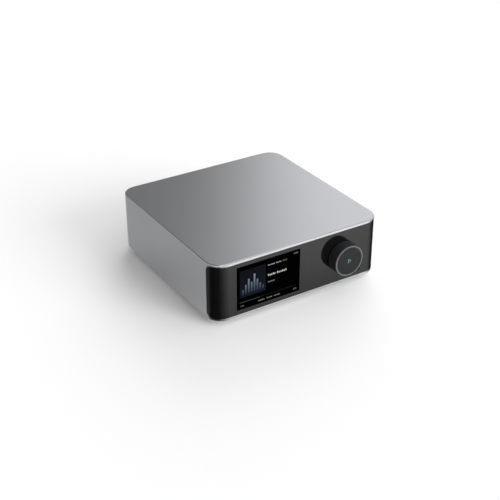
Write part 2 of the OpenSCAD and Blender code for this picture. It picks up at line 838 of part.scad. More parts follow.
module rca_orange() {
    color("orange") rca_insulator(rca_u[3], rca_v[0]);
}

module rear_screws() {
    color("dimgray") for (u = rca_u) on_rear(u, (rca_v[0] + rca_v[1]) / 2) screw(rear_t + rca_bite);
}

// Outside of an optical socket's nose, grown by "gap"
module optical_nose(gap, depth, out) {
    low = -optical_mouth / 2 - optical_wall - gap;
    high = stow_h + optical_wall + gap;
    translate([-optical_w / 2 - gap, low, -depth]) cube([optical_w + 2 * gap, high - low, depth + out]);
}

module optical_sockets() {
    color([0.1, 0.1, 0.1]) difference() {
        union() {
            for (v = optical_v) on_rear(optical_u, v) optical_nose(0, rear_t + lap, proud);
            on_rear(optical_u, board_top) translate([-optical_w / 2, 0, -rear_t - optical_depth])
                cube([optical_w, optical_v[1] + stow_h + optical_wall - board_top, optical_depth]);
        }
        for (v = optical_v) on_rear(optical_u, v) {
            // the mouth, and the wider room behind it that the flap swings up into
            block(optical_mouth - 2 * mouth_lip, optical_mouth, -frame_t - cut, proud + cut);
            translate([-optical_mouth / 2, -optical_mouth / 2, -optical_depth])
                cube([optical_mouth, optical_mouth / 2 + stow_h, optical_depth + proud - frame_t]);
            // seats for the flap's hinge pins
            translate([0, hinge_up, hinge_z]) rotate([0, 90, 0])
                cylinder(r = pin_r + run_clear, h = optical_mouth + 2 * (pin_bite + fit), center = true);
        }
    }
}

module optical_flap(v) {
    color([0.16, 0.16, 0.17]) on_rear(optical_u, v) translate([0, hinge_up, hinge_z]) {
        translate([-flap_w / 2, -flap_drop, -flap_t / 2]) cube([flap_w, flap_drop, flap_t]);
        rotate([0, 90, 0]) cylinder(r = flap_t / 2, h = flap_w, center = true);
        rotate([0, 90, 0]) cylinder(r = pin_r, h = optical_mouth + 2 * pin_bite, center = true);
    }
}

module optical_out_flap() {
    optical_flap(optical_v[1]);
}

module optical_in_flap() {
    optical_flap(optical_v[0]);
}

socket_depth = 14;
shell_t = 0.4;
shell_back = 2;
tongue_root = 3;
tongue_t = 1.8;
tongue_sink = 1.2;
hdmi_cut = 2;
hdmi_tongue_side = 2;
hdmi_tongue_up = 0.3;
usb_tongue_side = 1.1;
usb_tongue_up = 0.7;

// Section of the video socket: a rectangle with its lower corners cut off
module hdmi_section(inset) {
    w = hdmi_w / 2 - inset;
    h = hdmi_h / 2 - inset;
    c = hdmi_cut;
    polygon([[-w, h], [w, h], [w, c - h], [w - c, -h], [c - w, -h], [-w, c - h]]);
}

module hdmi_shell() {
    color("silver") on_rear(hdmi_u, hdmi_v) translate([0, 0, -socket_depth]) difference() {
        linear_extrude(socket_depth + proud) hdmi_section(0);
        translate([0, 0, shell_back]) linear_extrude(socket_depth + cut) hdmi_section(shell_t);
    }
}

module hdmi_tongue() {
    color("black") on_rear(hdmi_u, hdmi_v) {
        translate([0, 0, shell_back - socket_depth]) linear_extrude(tongue_root)
            hdmi_section(shell_t + run_clear);
        translate([0, hdmi_tongue_up, 0])
            block(hdmi_w - 2 * hdmi_tongue_side, tongue_t, shell_back + lap - socket_depth, -tongue_sink);
    }
}

module usb_shell() {
    color("silver") on_rear(usb_u, usb_v) difference() {
        block(usb_w, usb_h, -socket_depth, proud);
        block(usb_w - 2 * shell_t, usb_h - 2 * shell_t, shell_back - socket_depth, proud + cut);
    }
}

module usb_tongue() {
    inset = 2 * (shell_t + run_clear);
    color("white") on_rear(usb_u, usb_v) {
        block(usb_w - inset, usb_h - inset,
            shell_back - socket_depth, shell_back + tongue_root - socket_depth);
        translate([0, usb_tongue_up, 0])
            block(usb_w - 2 * usb_tongue_side, tongue_t, shell_back + lap - socket_depth, -tongue_sink);
    }
}

lan_mouth_w = 11.8;
lan_mouth_h = 8;
lan_mouth_up = 0.6;
lan_mouth_d = 11.5;
// Steps below the mouth for the plug's latch: width and how far down each reaches
latch_w = 6.2;
latch_drop = 1.5;
latch_tip_w = 3.6;
latch_tip_drop = 2.3;
contact_count = 8;
contact_pitch = 1.02;
contact_t = 0.45;
contact_bar = 1.2;
contact_sink = 3;

module network_socket() {
    color("silver") on_rear(lan_u, lan_v) difference() {
        block(lan_w, lan_h, -socket_depth - shell_back, proud);
        translate([0, lan_mouth_up, 0]) {
            block(lan_mouth_w, lan_mouth_h, -lan_mouth_d, proud + cut);
            translate([0, -latch_drop / 2, 0])
                block(latch_w, lan_mouth_h + latch_drop, -lan_mouth_d, proud + cut);
            translate([0, -latch_tip_drop / 2, 0])
                block(latch_tip_w, lan_mouth_h + latch_tip_drop, -lan_mouth_d, proud + cut);
        }
    }
}

module network_contacts() {
    top = lan_mouth_up + lan_mouth_h / 2 - contact_t;
    color("gold") on_rear(lan_u, lan_v) translate([0, top, 0]) {
        block(contact_count * contact_pitch, 2 * contact_t, -lan_mouth_d, contact_bar - lan_mouth_d);
        for (n = [0:contact_count - 1]) translate([(n - (contact_count - 1) / 2) * contact_pitch, 0, 0])
            block(contact_t, contact_t, lap - lan_mouth_d, -contact_sink);
    }
}

trigger_nose_r = 2.9;
trigger_nose_out = 3;
trigger_side = 8;
trigger_nut_r = 4.6;
trigger_nut_h = 2;

module trigger_socket() {
    color([0.1, 0.1, 0.1]) on_rear(lan_u, upper_v) difference() {
        union() {
            block(trigger_side, trigger_side, -rear_t - jack_depth, -rear_t);
            translate([0, 0, -rear_t - lap])
                cylinder(r = trigger_nose_r, h = rear_t + lap + trigger_nose_out);
        }
        translate([0, 0, trigger_nose_out - jack_depth]) cylinder(r = jack_r, h = jack_depth + cut);
    }
}

module trigger_nut() {
    color("silver") on_rear(lan_u, upper_v) difference() {
        cylinder(r = trigger_nut_r, h = trigger_nut_h, $fn = 6);
        translate([0, 0, -cut]) cylinder(r = trigger_nose_r + run_clear, h = trigger_nut_h + 2 * cut);
    }
}

mains_well = 12;
mains_pin_pitch = 8.6;
mains_pin_r = 1.2;
mains_pin_sink = 2;
mains_back = 1;
mains_lobe_r = 3.9;
mains_waist = 5.8;

// Figure-of-eight well for a two-pin mains lead
module mains_section() {
    for (x = [-1, 1]) translate([x * mains_pin_pitch / 2, 0]) circle(mains_lobe_r);
    square([mains_pin_pitch, mains_waist], center = true);
}

module mains_inlet() {
    color([0.08, 0.08, 0.08]) on_rear(mains_u, mains_v) difference() {
        block(mains_w, mains_h, -mains_depth, proud);
        translate([0, 0, -mains_well]) linear_extrude(mains_well + proud + cut) mains_section();
        for (x = [-1, 1]) translate([x * mains_pin_pitch / 2, 0, mains_back - mains_depth])
            cylinder(r = mains_pin_r + run_clear, h = mains_depth);
    }
}

module mains_pins() {
    color("silver") for (x = [-1, 1]) on_rear(mains_u, mains_v)
        translate([x * mains_pin_pitch / 2, 0, mains_back - mains_depth])
            cylinder(r = mains_pin_r, h = mains_depth - mains_back - mains_pin_sink);
}

ground_stud_r = 2;
ground_washer_t = 0.6;
ground_hex_r = 4.4;
ground_hex_h = 2.6;
ground_face_t = 1.6;
ground_tip_gap = 1.4;
flutes = 16;
flute_r = 0.55;
flute_bite = 0.3;
flute_end = 1;

// Stud with a hexagon behind the panel and a fixed washer in front of it
module ground_stud() {
    color("silver") on_rear(hdmi_u, upper_v) {
        translate([0, 0, -rear_t - ground_hex_h]) cylinder(r = ground_hex_r, h = ground_hex_h, $fn = 6);
        translate([0, 0, -rear_t - lap])
            cylinder(r = ground_stud_r, h = rear_t + lap + ground_out - ground_face_t - ground_tip_gap);
        cylinder(r = ground_r, h = ground_washer_t);
    }
}

// Thumb nut with a fluted grip
module ground_nut() {
    base = ground_washer_t + 2 * fit;
    color("gold") on_rear(hdmi_u, upper_v) difference() {
        translate([0, 0, base]) cylinder(r = ground_r, h = ground_out - base);
        translate([0, 0, base - cut])
            cylinder(r = ground_stud_r + run_clear, h = ground_out - ground_face_t - base + cut);
        for (n = [0:flutes - 1]) rotate(n * 360 / flutes)
            translate([ground_r + flute_r - flute_bite, 0, base + flute_end])
                cylinder(r = flute_r, h = ground_out - base - 2 * flute_end);
    }
}

// Boards and what is on them

module main_board() {
    color("darkgreen") difference() {
        translate([main_x0, board_front, board_z])
            cube([main_x1 - main_x0, board_back - board_front, board_t]);
        for (p = main_spots) translate([p[0], p[1], board_z - cut])
            cylinder(r = screw_r + fit, h = board_t + 2 * cut);
    }
}

module power_board() {
    color("tan") difference() {
        translate([power_x - power_w / 2, power_front, board_z])
            cube([power_w, board_back - power_front, board_t]);
        for (p = power_spots) translate([p[0], p[1], board_z - cut])
            cylinder(r = screw_r + fit, h = board_t + 2 * cut);
    }
}

module board_screws() {
    color("dimgray") for (p = concat(main_spots, power_spots)) translate([p[0], p[1], board_top])
        screw(board_t + screw_bite);
}

module processor_shield() {
    color("lightgray") translate([chip_x, chip_y, board_top]) linear_extrude(shield_h)
        round_rect(chip_side, chip_side, chip_r);
}

module heat_sink() {
    pitch = (chip_side - fin_t) / (fin_count - 1);
    color("darkgray") translate([chip_x, chip_y, board_top + shield_h]) {
        block(chip_side, chip_side, 0, sink_base);
        for (n = [0:fin_count - 1]) translate([-chip_side / 2 + n * pitch, -chip_side / 2, sink_base / 2])
            cube([fin_t, chip_side, sink_base / 2 + fin_h]);
    }
}

// Two rows of electrolytic capacitors behind the analogue sockets
module audio_capacitors() {
    color("midnightblue") for (u = rca_u) for (n = [0.5, 1.5])
        translate([-u, board_back - rca_depth - n * cap_pitch, board_top]) cylinder(r = cap_r, h = cap_h);
}

// Ferrite core round a wound bobbin
module transformer() {
    bobbin_l = core_l - 2 * core_t;
    color("goldenrod") translate([power_x, core_y, board_top]) {
        difference() {
            block(core_w, core_l, 0, core_h);
            translate([0, 0, core_t]) block(core_w + 2 * cut, bobbin_l, 0, core_h - 2 * core_t);
        }
        translate([0, 0, core_t / 2]) linear_extrude(core_h - core_t)
            round_rect(core_w - supply_gap, bobbin_l + 2 * lap, core_t);
    }
}

module bulk_capacitor() {
    color("black") translate([power_x, bulk_y, board_top]) cylinder(r = bulk_r, h = bulk_h);
}

// Toroid choke lying on the board
module line_choke() {
    color("sienna") translate([power_x, choke_y, board_top + choke_wire_r]) rotate_extrude()
        translate([choke_r, 0]) circle(choke_wire_r);
}

// Supply leads that bridge the two boards
module power_wires() {
    color("crimson") for (n = [0:3]) translate([split_x, wire_y + wire_pitch * n, board_top])
        rotate([90, 0, 0]) rotate_extrude(angle = 180) translate([wire_bend, 0]) circle(wire_r);
}

// A flat cable that runs down a vertical face, turns and runs back over the main board
module ribbon(x, y_face, z_top) {
    z_low = board_top + ribbon_bend + ribbon_t;
    y_turn = y_face + ribbon_bend + ribbon_t;
    outer = ribbon_bend + ribbon_t;
    translate([x, 0, 0]) rotate([90, 0, 90]) linear_extrude(ribbon_w, center = true) {
        translate([y_face, z_low]) square([ribbon_t, z_top - z_low]);
        translate([y_turn, board_top]) square([ribbon_end - y_turn, ribbon_t]);
        intersection() {
            translate([y_turn, z_low]) difference() {
                circle(outer);
                circle(ribbon_bend);
            }
            translate([y_face, board_top]) square(outer);
        }
    }
}

module display_ribbon() {
    color("peru") ribbon(glass_x, face_y + fascia_t + bracket_t, fascia_mid - ribbon_drop);
}

module knob_ribbon() {
    color("peru") ribbon(knob_x, face_y - board_face + board_t, fascia_mid - ribbon_drop);
}

module ribbon_sockets() {
    color("ivory") for (x = [glass_x, knob_x]) translate([x, ribbon_end, board_top]) difference() {
        block(ribbon_w + 2 * ribbon_socket_wall, ribbon_socket_d, 0, ribbon_socket_h);
        // the slot that takes the cable's end
        translate([0, -ribbon_socket_d / 2, 0])
            block(ribbon_w + 2 * fit, ribbon_socket_d + 2 * fit, -cut, ribbon_t + fit);
    }
}

antenna_w = 40;
antenna_h = 7;
antenna_t = 0.5;
antenna_gap = 2;

// Two adhesive aerials inside the back panel, above the sockets
module antennas() {
    color("black") for (u = [-rear_w / 4, rear_w / 4]) on_rear(u, board_top + rca_h + antenna_gap)
        translate([-antenna_w / 2, 0, -rear_t - antenna_t]) cube([antenna_w, antenna_h, antenna_t]);
}

aluminium_case();
front_fascia();
rear_panel();
base_plate();
rubber_feet();
base_screws();
display_glass();
display_cell();
backlight_tray();
display_bracket();
bracket_screws();
knob_ring();
knob_bezel();
encoder_rotor();
retaining_clip();
encoder_body();
knob_post();
knob_board();
knob_screws();
play_button();
play_icon();
push_switch();
switch_plunger();
headphone_socket();
rca_housings();
rca_barrels();
rca_white();
rca_red();
rca_black();
rca_orange();
rear_screws();
optical_sockets();
optical_out_flap();
optical_in_flap();
hdmi_shell();
hdmi_tongue();
usb_shell();
usb_tongue();
network_socket();
network_contacts();
trigger_socket();
trigger_nut();
mains_inlet();
mains_pins();
ground_stud();
ground_nut();
main_board();
power_board();
board_screws();
processor_shield();
heat_sink();
audio_capacitors();
transformer();
bulk_capacitor();
line_choke();
power_wires();
display_ribbon();
knob_ribbon();
ribbon_sockets();
antennas();
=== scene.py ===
import math

import bpy
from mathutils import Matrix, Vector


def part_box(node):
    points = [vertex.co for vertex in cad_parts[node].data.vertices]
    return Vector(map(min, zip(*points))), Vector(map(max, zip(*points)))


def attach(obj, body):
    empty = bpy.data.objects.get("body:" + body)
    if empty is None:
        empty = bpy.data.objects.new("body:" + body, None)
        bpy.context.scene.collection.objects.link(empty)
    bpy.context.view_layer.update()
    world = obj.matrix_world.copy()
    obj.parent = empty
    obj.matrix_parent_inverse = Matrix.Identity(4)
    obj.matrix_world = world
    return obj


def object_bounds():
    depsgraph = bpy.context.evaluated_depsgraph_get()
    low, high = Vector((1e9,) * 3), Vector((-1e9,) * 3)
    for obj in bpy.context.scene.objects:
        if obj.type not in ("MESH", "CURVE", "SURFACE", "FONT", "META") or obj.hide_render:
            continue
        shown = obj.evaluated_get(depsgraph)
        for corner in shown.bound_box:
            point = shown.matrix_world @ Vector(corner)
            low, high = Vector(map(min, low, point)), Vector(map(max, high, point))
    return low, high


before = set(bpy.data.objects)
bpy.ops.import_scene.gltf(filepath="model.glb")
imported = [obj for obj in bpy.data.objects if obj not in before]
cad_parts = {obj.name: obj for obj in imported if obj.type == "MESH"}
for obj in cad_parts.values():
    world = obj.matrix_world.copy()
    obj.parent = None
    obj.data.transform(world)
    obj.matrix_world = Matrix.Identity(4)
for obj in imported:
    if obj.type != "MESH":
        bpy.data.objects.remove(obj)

cad_box = [list(corner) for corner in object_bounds()]

# Studio camera: it stands in front of the unit, to its left and above its top,
# and looks down on it through a short telephoto lens, as in the photograph.
eye, tilt_down, turn_right = (-0.5370, -0.8579, 0.5820), 28.65, 32.23
lens_mm, film_mm, frame_shift, far_limit = 75, 36, -0.025, 50
camera_data = bpy.data.cameras.new("studio_camera")
camera_data.lens = lens_mm
camera_data.sensor_width = film_mm
camera_data.shift_y = frame_shift
camera_data.clip_end = far_limit
camera = bpy.data.objects.new("studio_camera", camera_data)
camera.location = eye
camera.rotation_euler = (math.radians(90 - tilt_down), 0, math.radians(-turn_right))
bpy.context.scene.collection.objects.link(camera)
bpy.context.scene.camera = camera
bpy.context.scene.view_settings.view_transform = "Standard"


# Studio sky: a large bright wall of light on the unit's right and a dim room on
# its left, which the bead-blasted top mirrors as a soft grade from left to right.
def linear(code):
    """The linear colour of an sRGB hex value."""
    parts = [int(code[i:i + 2], 16) / 255 for i in (0, 2, 4)]
    return [c / 12.92 if c <= 0.04045 else ((c + 0.055) / 1.055) ** 2.4 for c in parts] + [1]


def add(tree, kind, settings=None, links=None):
    """Adds a node, sets its properties and sockets by name or number, and links its inputs."""
    node = tree.nodes.new(kind)
    for key, value in (settings or {}).items():
        if isinstance(key, str) and hasattr(node, key):
            setattr(node, key, value)
        else:
            node.inputs[key].default_value = value
    for key, output in (links or {}).items():
        tree.links.new(output, node.inputs[key])
    return node


to_wall = (0.846, -0.533, 0)
room_level, wall_level, edge_from, edge_to = 0.225, 1.05, -0.052, 0.066
front_from, front_to, front_lit, front_mirrored = 0.15, 0.6, 0.34, -0.3
sky = bpy.data.worlds.new("studio_sky")
bpy.context.scene.world = sky
sky.use_nodes = True
tree = sky.node_tree
tree.nodes.clear()
rays = add(tree, "ShaderNodeLightPath")
facing = add(tree, "ShaderNodeVectorMath", {"operation": "DOT_PRODUCT", 1: to_wall},
             {0: add(tree, "ShaderNodeTexCoord").outputs["Generated"]})
wall = add(tree, "ShaderNodeMapRange",
           {"interpolation_type": "SMOOTHSTEP", "From Min": edge_from, "From Max": edge_to,
            "To Min": room_level, "To Max": wall_level},
           {"Value": facing.outputs["Value"]})
# beyond the wall the front is brighter, but mirrors see it darker, as flagged off from them
front = add(tree, "ShaderNodeMapRange", {"From Min": front_from, "From Max": front_to},
            {"Value": facing.outputs["Value"]})
gain = add(tree, "ShaderNodeMapRange", {"To Min": front_lit, "To Max": front_mirrored},
           {"Value": rays.outputs["Is Glossy Ray"]})
level = add(tree, "ShaderNodeMath", {"operation": "MULTIPLY_ADD"},
            {0: front.outputs["Result"], 1: gain.outputs["Result"], 2: wall.outputs["Result"]})
sky_light = add(tree, "ShaderNodeBackground", {"Color": linear("FEFEFF")},
                {"Strength": level.outputs["Value"]})
# the camera sees plain white behind the floor
white_sky = add(tree, "ShaderNodeBackground", {"Color": linear("FFFFFF"), "Strength": 1})
seen = add(tree, "ShaderNodeMath", {"operation": "MAXIMUM"},
           {0: rays.outputs["Is Camera Ray"], 1: rays.outputs["Is Transmission Ray"]})
whole_sky = add(tree, "ShaderNodeMixShader",
                links={0: seen.outputs["Value"], 1: sky_light.outputs[0], 2: white_sky.outputs[0]})
add(tree, "ShaderNodeOutputWorld", links={"Surface": whole_sky.outputs[0]})

# Lamps: two soft low ones on the unit's right, one behind it and one in front, so
# that its shadow falls in front of and behind its left. The metal mirrors the sky alone.
lamp_spread = 39
for name, energy, turn in (("key_lamp", 1.73, (-48.6, 63.3, 0)), ("fill_lamp", 3.05, (61.7, 56.1, 0))):
    lamp_data = bpy.data.lights.new(name, "SUN")
    lamp_data.energy = energy
    lamp_data.angle = math.radians(lamp_spread)
    lamp = bpy.data.objects.new(name, lamp_data)
    lamp.rotation_euler = [math.radians(angle) for angle in turn]
    lamp.visible_glossy = False
    bpy.context.scene.collection.objects.link(lamp)


# Floor: a wide sheet of matt white paper under the unit. The camera and mirrors
# see it a little brighter than it is lit, so that it goes to white and keeps its shadow.
def blank(name):
    """A new material with an empty node tree, and that tree."""
    material = bpy.data.materials.new(name)
    material.use_nodes = True
    material.node_tree.nodes.clear()
    return material, material.node_tree


floor_wide, seen_lift = 40, 0.12
near_y, far_y, near_lift, far_lift = -0.11, -0.24, 0.12, 0.5
bpy.ops.object.select_all(action="DESELECT")
bpy.ops.mesh.primitive_plane_add(size=floor_wide)
floor = bpy.context.object
floor.name = "paper_floor"
paper, tree = blank("matt_white_paper")
rays = add(tree, "ShaderNodeLightPath")
matt = add(tree, "ShaderNodeBsdfDiffuse", {"Color": linear("E6E6E6")})
seen = add(tree, "ShaderNodeMath", {"operation": "MAXIMUM"},
           {0: rays.outputs["Is Camera Ray"], 1: rays.outputs["Is Transmission Ray"]})
# the gloss front mirrors it brighter the further out in front it lies
place = add(tree, "ShaderNodeSeparateXYZ", links={0: add(tree, "ShaderNodeTexCoord").outputs["Object"]})
farther = add(tree, "ShaderNodeMapRange",
              {"From Min": near_y, "From Max": far_y, "To Min": near_lift, "To Max": far_lift},
              {"Value": place.outputs["Y"]})
mirrored = add(tree, "ShaderNodeMath", {"operation": "MULTIPLY"},
               {0: farther.outputs["Result"], 1: rays.outputs["Is Glossy Ray"]})
lift = add(tree, "ShaderNodeMath", {"operation": "MULTIPLY_ADD", 1: seen_lift},
           {0: seen.outputs["Value"], 2: mirrored.outputs["Value"]})
glow = add(tree, "ShaderNodeEmission", {"Color": linear("FFFFFF")}, {"Strength": lift.outputs["Value"]})
sheet = add(tree, "ShaderNodeAddShader", links={0: matt.outputs[0], 1: glow.outputs[0]})
add(tree, "ShaderNodeOutputMaterial", links={"Surface": sheet.outputs[0]})
floor.data.materials.append(paper)


# Cards: as a photographer sets them, a grey one on the floor beside the left face, which glows evenly and
# carries a painted shadow, and a dark one curled round each front corner, which only mirrors see.
def hide_card(card, material):
    """Leaves a card to reflections alone."""
    card.data.materials.append(material)
    card.visible_camera = card.visible_diffuse = card.visible_shadow = card.visible_transmission = False


card_corners, card_lift = [(-0.45, 0.04), (-0.105, -0.082), (-0.45, 0.5), (-0.105, 0.5)], 0.0004
bpy.ops.object.select_all(action="DESELECT")
bpy.ops.mesh.primitive_plane_add(size=1)
card = bpy.context.object
card.name = "grey_card"
for vertex, (x, y) in zip(card.data.vertices, card_corners):
    vertex.co = (x, y, card_lift)
grey, tree = blank("glowing_grey_card")
# a painted soft shadow of the unit on the glowing card, 60 mm out from the left face and 95 mm each way along
# it
shade_x, shade_y, shade_out, shade_along, shade_level = cad_box[0][0], 0.025, 0.06, 0.095, 0.73
near = add(tree, "ShaderNodeMapping",
           {"Location": (-shade_x / shade_out, -shade_y / shade_along, 0),
            "Scale": (1 / shade_out, 1 / shade_along, 0)},
           {"Vector": add(tree, "ShaderNodeTexCoord").outputs["Object"]})
shade = add(tree, "ShaderNodeTexGradient", {"gradient_type": "SPHERICAL"},
            {"Vector": near.outputs["Vector"]})
shaded = add(tree, "ShaderNodeMapRange", {"To Min": 1, "To Max": shade_level},
             {"Value": shade.outputs["Fac"]})
# the card's glow, dimmed by the painted shadow
tone = add(tree, "ShaderNodeEmission", {"Color": linear("B2B2B2")}, {"Strength": shaded.outputs["Result"]})
add(tree, "ShaderNodeOutputMaterial", links={"Surface": tone.outputs[0]})
hide_card(card, grey)

# each curled card stands about 6 mm off its corner; it is solid from start to stop, in degrees
# round the corner, and thins out softly at both ends
corner_in, curl, card_foot, card_high = 0.0857, 0.0235, 0.002, 0.0648
for name, side, start, stop, soft_start, soft_stop in (("black_card_left", -1, 170, 281, 0.45, 0.72),
                                                       ("black_card_right", 1, -76, 36, 0.56, 0.45)):
    bpy.ops.object.select_all(action="DESELECT")
    bpy.ops.mesh.primitive_circle_add(vertices=96, radius=curl,
                                      location=(side * corner_in, -corner_in, card_foot))
    card = bpy.context.object
    card.name = name
    bpy.ops.object.mode_set(mode="EDIT")
    bpy.ops.mesh.select_all(action="SELECT")
    bpy.ops.mesh.extrude_region_move(TRANSFORM_OT_translate={"value": (0, 0, card_high)})
    bpy.ops.object.mode_set(mode="OBJECT")
    dark, tree = blank(name)
    out = add(tree, "ShaderNodeVectorMath", {"operation": "MULTIPLY", 1: (1 / curl, 1 / curl, 0)},
              {0: add(tree, "ShaderNodeTexCoord").outputs["Object"]}).outputs["Vector"]
    first, last = math.radians(start), math.radians(stop)
    past = add(tree, "ShaderNodeVectorMath",
               {"operation": "DOT_PRODUCT", 1: (-math.sin(first), math.cos(first), 0)}, {0: out})
    short = add(tree, "ShaderNodeVectorMath",
                {"operation": "DOT_PRODUCT", 1: (math.sin(last), -math.cos(last), 0)}, {0: out})
    near_end = add(tree, "ShaderNodeMapRange", {"From Max": soft_start}, {"Value": past.outputs["Value"]})
    far_end = add(tree, "ShaderNodeMapRange", {"From Max": soft_stop}, {"Value": short.outputs["Value"]})
    solid = add(tree, "ShaderNodeMath", {"operation": "MULTIPLY"},
                {0: near_end.outputs["Result"], 1: far_end.outputs["Result"]})
    clear = add(tree, "ShaderNodeBsdfTransparent")
    tone = add(tree, "ShaderNodeEmission", {"Color": linear("2E2E2E")})
    thinned = add(tree, "ShaderNodeMixShader",
                  links={0: solid.outputs["Value"], 1: clear.outputs[0], 2: tone.outputs[0]})
    add(tree, "ShaderNodeOutputMaterial", links={"Surface": thinned.outputs[0]})
    hide_card(card, dark)


# Base: a moulded black plate with stand-offs for the boards, which closes the
# case from below. Satin ABS, held by four black screws up into the case's flange.
def surface(name):
    """A new material: itself, its node tree, its shader and the piece's own coordinates."""
    material = bpy.data.materials.new(name)
    material.use_nodes = True
    tree = material.node_tree
    return material, tree, tree.nodes["Principled BSDF"], add(tree, "ShaderNodeTexCoord").outputs["Object"]


def finish(name, codes, rough, grain_mm, depth_mm, drift_mm, metallic=0.0, stretch=(1, 1, 1)):
    """Two close colours that drift over drift_mm, with a grain in sheen and relief, drawn out by stretch."""
    noise_low, noise_high, relief_share = 0.3, 0.7, 0.5
    material, tree, shader, at = surface(name)
    shader.inputs["Metallic"].default_value = metallic
    drift = add(tree, "ShaderNodeTexNoise", {"Scale": 1000 / drift_mm, "Detail": 3}, {"Vector": at})
    tint = add(tree, "ShaderNodeMix", {"data_type": "RGBA", 6: linear(codes[0]), 7: linear(codes[1])},
               {0: drift.outputs["Fac"]})
    tree.links.new(tint.outputs[2], shader.inputs["Base Color"])
    drawn = add(tree, "ShaderNodeMapping", {"Scale": stretch}, {"Vector": at})
    grain = add(tree, "ShaderNodeTexNoise", {"Scale": 1000 / grain_mm, "Detail": 2},
                {"Vector": drawn.outputs["Vector"]})
    sheen = add(tree, "ShaderNodeMapRange",
                {"From Min": noise_low, "From Max": noise_high, "To Min": rough[0], "To Max": rough[1]},
                {"Value": grain.outputs["Fac"]})
    tree.links.new(sheen.outputs["Result"], shader.inputs["Roughness"])
    relief = add(tree, "ShaderNodeBump", {"Strength": relief_share, "Distance": depth_mm / 1000},
                 {"Height": grain.outputs["Fac"]})
    tree.links.new(relief.outputs["Normal"], shader.inputs["Normal"])
    return material


def dress(material, *names):
    """Gives CAD pieces a material."""
    for name in names:
        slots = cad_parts[name].data.materials
        slots.clear()
        slots.append(material)


# Moulded satin: an even soft black with a fine pebble of about 0.3 mm, drawn at 0.6 mm to show.
base_abs = finish("satin_moulded_black_abs", ("17181A", "1B1C1E"), rough=(0.45, 0.58),
                  grain_mm=0.6, depth_mm=0.02, drift_mm=30)
dress(base_abs, "base_plate")
# Black oxide: a dull blue-black metal, paler in patches of 2 mm, with turning marks of 0.2 mm.
screw_oxide = finish("black_oxide_screw_steel", ("1A1A1C", "2A2A2E"), rough=(0.35, 0.5),
                     grain_mm=0.2, depth_mm=0.004, drift_mm=2, metallic=0.8)
dress(screw_oxide, "base_screws", "rear_screws")

# Feet: four discs of soft moulded rubber pressed into the base's pockets.
# Matt and slightly dusty, with a fine skin of about 0.4 mm.
foot_rubber = finish("matt_moulded_black_rubber", ("141414", "1E1E1D"), rough=(0.75, 0.92),
                     grain_mm=0.4, depth_mm=0.03, drift_mm=8)
dress(foot_rubber, "rubber_feet")


# Boards: the main board carries the sockets and the processor, the narrow board
# beside it the supply. Laminate under solder mask or bare, screwed to the stand-offs.
def laminate(name, codes, turn):
    """Laminate and the copper tracks that show through its skin."""
    track_mm, pitch_mm, run_mm, copper_mm, skin_rough = 0.4, 1.5, 17, 0.035, 0.34
    material, tree, shader, at = surface(name)
    shader.inputs["Roughness"].default_value = skin_rough
    flat = add(tree, "ShaderNodeMapping", {"Rotation": (turn, 0, 0), "Scale": (1000, 1000, 1000)},
               {"Vector": at})
    tracks = add(tree, "ShaderNodeTexBrick",
                 {"Color1": linear(codes[0]), "Color2": linear(codes[1]), "Mortar": linear(codes[2]),
                  "Scale": 1, "Mortar Size": track_mm / 2, "Mortar Smooth": 0.2,
                  "Brick Width": run_mm, "Row Height": pitch_mm},
                 {"Vector": flat.outputs["Vector"]})
    tree.links.new(tracks.outputs["Color"], shader.inputs["Base Color"])
    relief = add(tree, "ShaderNodeBump", {"Strength": 1, "Distance": copper_mm / 1000},
                 {"Height": tracks.outputs["Fac"]})
    tree.links.new(relief.outputs["Normal"], shader.inputs["Normal"])
    return material


# Solder mask: a wet dark green, or bare tan on the supply board, with paler raised tracks.
mask_codes, tan_codes = ("0B3A1E", "0D4223", "1B6236"), ("8C6A38", "94713D", "A9884C")
dress(laminate("green_masked_glass_laminate", mask_codes, 0), "main_board")
dress(laminate("bare_tan_paper_laminate", tan_codes, 0), "power_board")
dress(laminate("green_masked_upright_laminate", mask_codes, math.pi / 2), "knob_board")
# Zinc plate: pale, faintly blue and spangled over about 1 mm.
zinc = finish("zinc_plated_screw_steel", ("B4B8BC", "9FA4AA"), rough=(0.28, 0.42),
              grain_mm=0.2, depth_mm=0.004, drift_mm=1, metallic=1.0)
dress(zinc, "board_screws", "bracket_screws", "knob_screws")

# Processor: a tinned steel can soldered over it, and a black anodised heat sink
# bonded on top, extruded with straight fins.
# Tin plate: a soft pale mirror, clouded over about 6 mm.
tin = finish("tinned_sheet_steel", ("C6C7C6", "B2B4B5"), rough=(0.22, 0.34),
             grain_mm=0.8, depth_mm=0.003, drift_mm=6, metallic=1.0)
dress(tin, "processor_shield", "hdmi_shell", "usb_shell", "display_bracket", "retaining_clip")
# Black anodising on extruded metal: a dull black with fine draw lines of 0.3 mm along the fins.
fin_stock = finish("black_anodised_extrusion", ("1B1C1E", "232427"), rough=(0.35, 0.5),
                   grain_mm=0.3, depth_mm=0.008, drift_mm=14, metallic=0.5, stretch=(1, 0.03, 1))
dress(fin_stock, "heat_sink")


